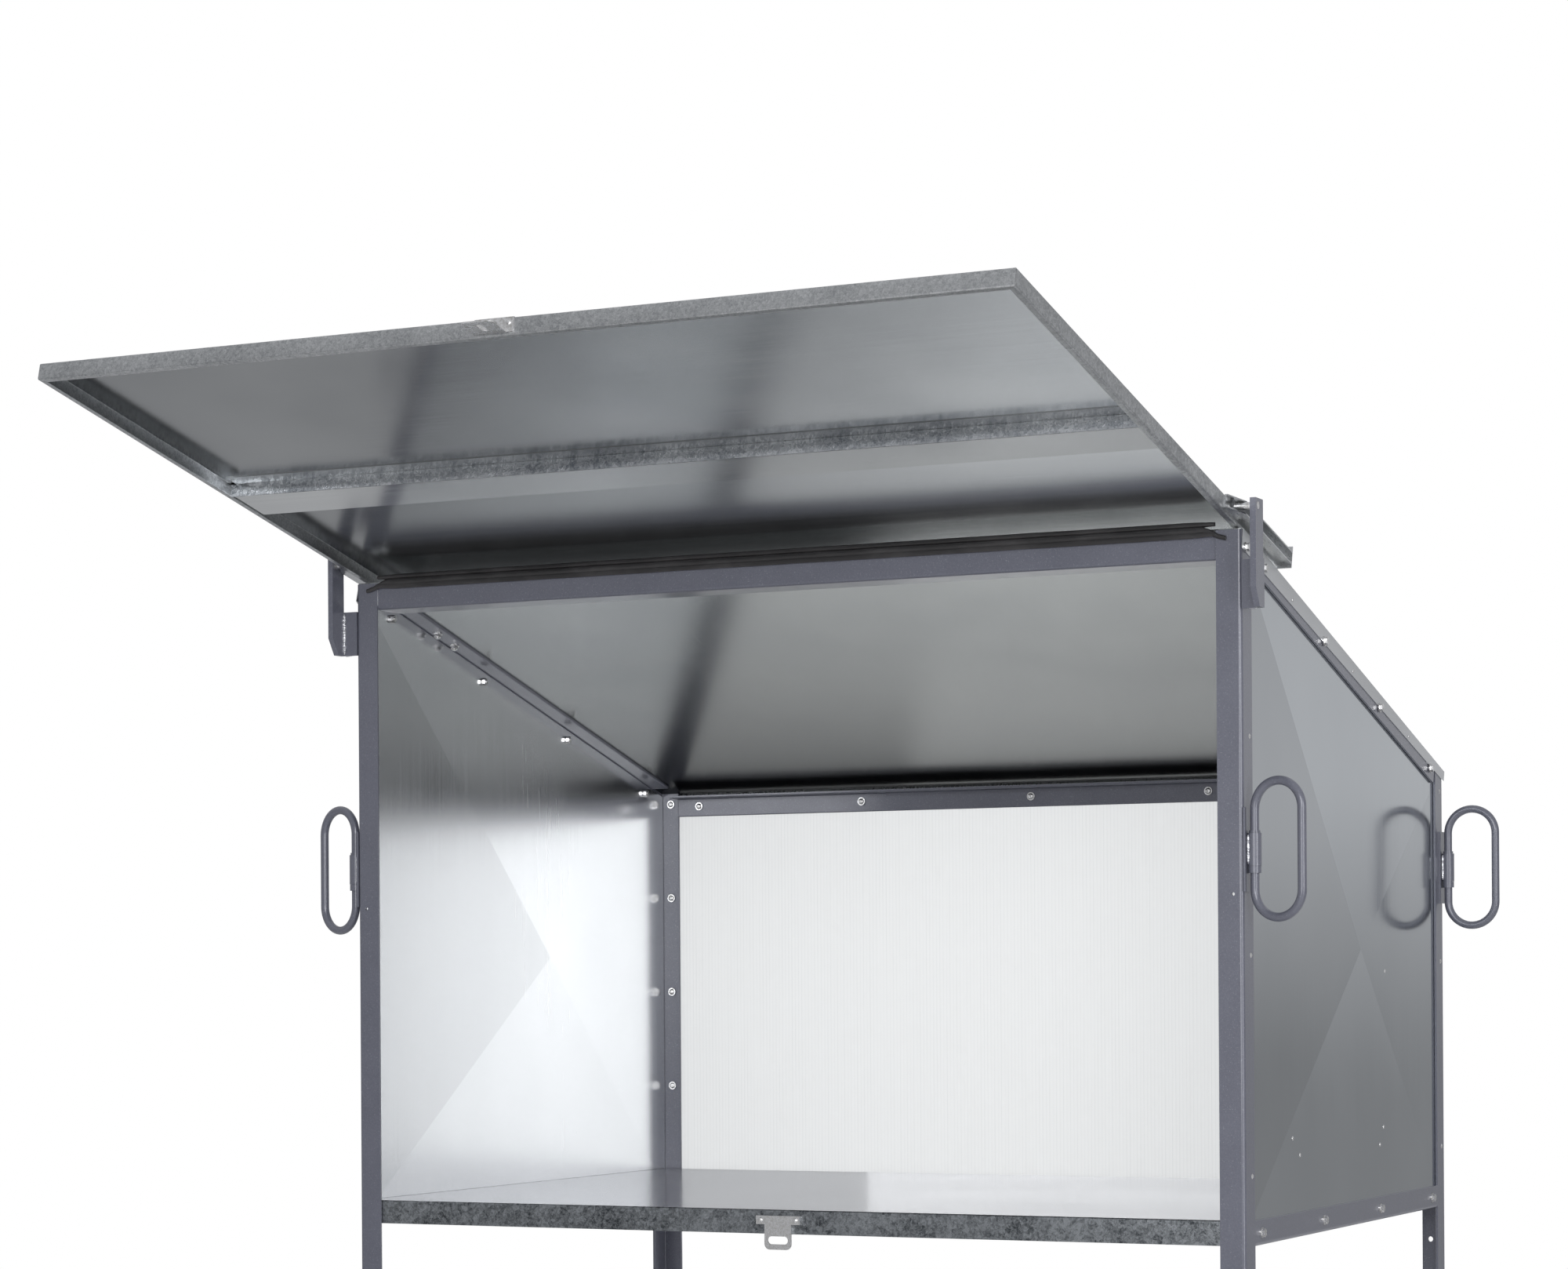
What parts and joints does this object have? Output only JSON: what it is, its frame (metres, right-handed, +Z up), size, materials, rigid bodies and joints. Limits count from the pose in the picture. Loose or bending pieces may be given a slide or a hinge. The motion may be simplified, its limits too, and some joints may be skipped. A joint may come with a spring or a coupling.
{
  "type": "cold_frame",
  "caption": "Raised growing cabinet on angle-iron legs: floor tray, sheet sides, twin-wall back, sloping roof and a lid that swings up on pins and slides back over the roof.",
  "frame": {"origin": "on the ground, under the middle of the whole part with its lid open and loops at rest", "axes": "+X to the right seen from the open front, +Y from the open front to the back, +Z up"},
  "size_m": [1.543, 1.76, 1.9134],
  "materials": {
    "painted_frame": "hammered slate-grey enamel over steel angle, glossy on the rounded edges",
    "galvanised_sheet": "bright galvanised steel sheet, faintly spangled, soft reflections",
    "zinc_hardware": "bright zinc-plated fasteners and fittings",
    "twin_wall_panel": "translucent white twin-wall polycarbonate with fine upright ribs",
    "seal_rubber": "smooth black rubber"
  },
  "bodies": {
    "frame": {"beam_seal": "seal_rubber", "bottom_rail_bolts": "zinc_hardware", "bottom_rail_nuts": "zinc_hardware", "floor_stiffener": "galvanised_sheet", "floor_tray": "galvanised_sheet", "frame_rivets": "zinc_hardware", "front_beam": "painted_frame", "front_left_loop_plate": "painted_frame", "front_left_loop_sleeve": "painted_frame", "front_left_post": "painted_frame", "front_right_loop_plate": "painted_frame", "front_right_loop_sleeve": "painted_frame", "front_right_post": "painted_frame", "hasp_rivets": "zinc_hardware", "hinge_ear_left": "painted_frame", "hinge_ear_right": "painted_frame", "hinge_lug_left": "painted_frame", "hinge_lug_right": "painted_frame", "left_bottom_rail": "painted_frame", "left_side_panel": "galvanised_sheet", "left_top_rail": "painted_frame", "rear_bottom_rail": "painted_frame", "rear_left_loop_plate": "painted_frame", "rear_left_loop_sleeve": "painted_frame", "rear_left_post": "painted_frame", "rear_panel": "twin_wall_panel", "rear_panel_nuts": "zinc_hardware", "rear_panel_screws": "zinc_hardware", "rear_right_loop_plate": "painted_frame", "rear_right_loop_sleeve": "painted_frame", "rear_right_post": "painted_frame", "rear_top_rail": "painted_frame", "right_bottom_rail": "painted_frame", "right_side_panel": "galvanised_sheet", "right_top_rail": "painted_frame", "roof_sheet": "galvanised_sheet", "roof_side_bolts": "zinc_hardware", "roof_side_nuts": "zinc_hardware", "roof_top_bolts": "zinc_hardware", "roof_top_nuts": "zinc_hardware", "shelf_hasp_packer": "zinc_hardware", "shelf_hasp_plate": "zinc_hardware"},
    "hinge_pins": {"hinge_pin_left": "zinc_hardware", "hinge_pin_right": "zinc_hardware"},
    "lid": {"lid_hasp_rivet": "zinc_hardware", "lid_hasp_tab": "zinc_hardware", "lid_slide_left": "galvanised_sheet", "lid_slide_right": "galvanised_sheet", "lid_stiffener": "galvanised_sheet", "lid_tray": "galvanised_sheet", "slide_stop_left": "galvanised_sheet", "slide_stop_right": "galvanised_sheet"},
    "front_left_lifting_loop": {"front_left_loop": "painted_frame", "front_left_loop_collar": "painted_frame"},
    "front_right_lifting_loop": {"front_right_loop": "painted_frame", "front_right_loop_collar": "painted_frame"},
    "rear_left_lifting_loop": {"rear_left_loop": "painted_frame", "rear_left_loop_collar": "painted_frame"},
    "rear_right_lifting_loop": {"rear_right_loop": "painted_frame", "rear_right_loop_collar": "painted_frame"}
  },
  "joints": [
    {"name": "lid_hinge", "type": "hinge", "parent": "frame", "child": "hinge_pins", "pos_m": [0, -0.10551, 1.7295], "axis": [1, 0, 0], "range_deg": [0, 103.5]},
    {"name": "lid_slide", "type": "slide", "parent": "hinge_pins", "child": "lid", "axis": [0, -0.9724, 0.2334], "range_m": [0, 0.1915]},
    {"name": "front_left_loop_swivel", "type": "hinge", "parent": "frame", "child": "front_left_lifting_loop", "pos_m": [-0.692, -0.07401, 1.285], "axis": [0, 0, 1], "range_deg": [-71, 109]},
    {"name": "front_right_loop_swivel", "type": "hinge", "parent": "frame", "child": "front_right_lifting_loop", "pos_m": [0.692, -0.07401, 1.285], "axis": [0, 0, 1], "range_deg": [-74, 106]},
    {"name": "rear_left_loop_swivel", "type": "hinge", "parent": "frame", "child": "rear_left_lifting_loop", "pos_m": [-0.692, 0.85698, 1.285], "axis": [0, 0, 1], "range_deg": [-90, 90]},
    {"name": "rear_right_loop_swivel", "type": "hinge", "parent": "frame", "child": "rear_right_lifting_loop", "pos_m": [0.692, 0.85698, 1.285], "axis": [0, 0, 1], "range_deg": [-90, 90]}
  ]
}
